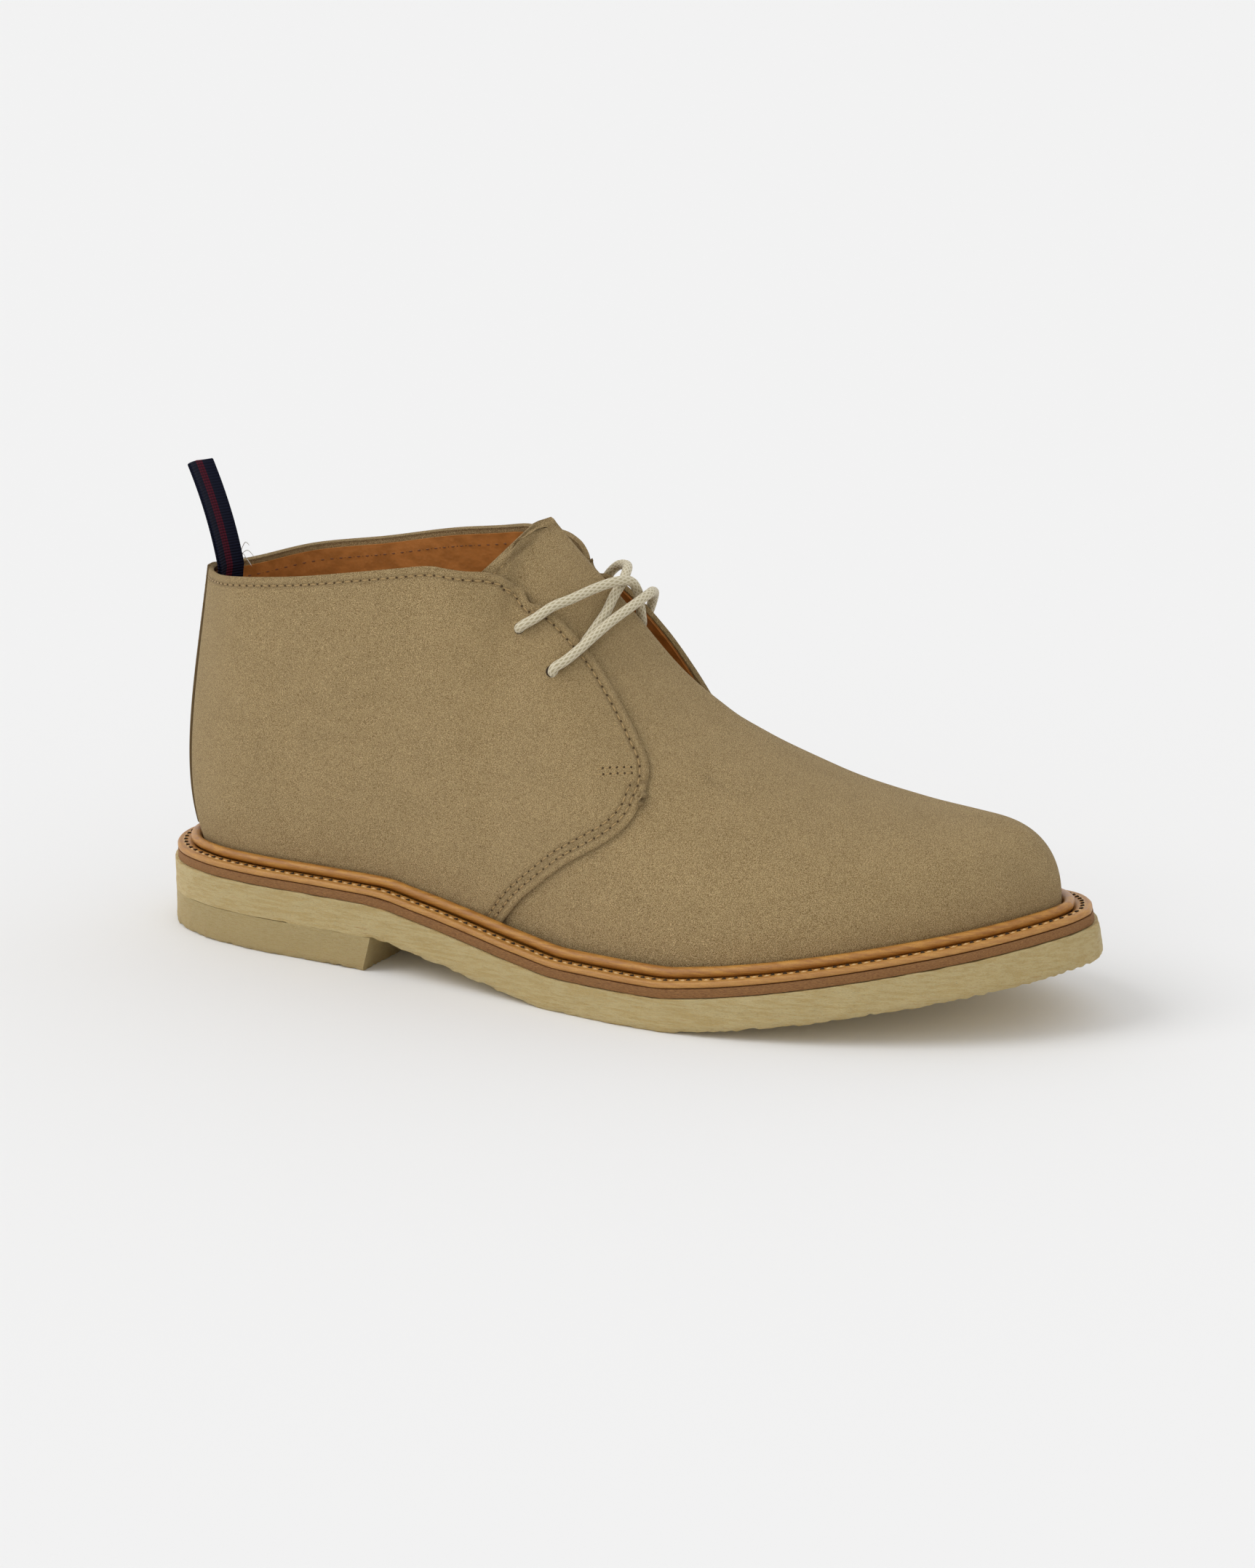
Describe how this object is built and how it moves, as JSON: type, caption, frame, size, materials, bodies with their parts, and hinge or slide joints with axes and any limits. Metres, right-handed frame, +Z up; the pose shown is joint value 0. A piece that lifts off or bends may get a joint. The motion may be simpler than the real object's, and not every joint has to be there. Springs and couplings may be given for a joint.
{
  "type": "chukka boot",
  "caption": "Right ankle-high suede lace-up boot with rounded toe, tongue cut in one with the vamp, storm welt and stitched crepe sole with separate heel lift.",
  "frame": {"origin": "on the floor, at the middle of the boot's own floor print in length and width", "axes": "+X to the toe, +Y to the inner side of the foot, +Z up"},
  "size_m": [0.3039, 0.1094, 0.145],
  "materials": {
    "crepe": "rough natural crepe rubber",
    "sole_leather": "rough cut edge",
    "welt_leather": "waxed, half gloss",
    "suede": "napped, matte",
    "lining": "smooth, satin",
    "cotton": "braided, matte",
    "ribbon": "ribbed weave, matte"
  },
  "bodies": {
    "root": {"outsole": "crepe", "heel": "crepe", "midsole": "sole_leather", "welt": "welt_leather", "upper": "suede", "insole": "lining", "lace": "cotton", "pull_loop": "ribbon"}
  },
  "joints": []
}
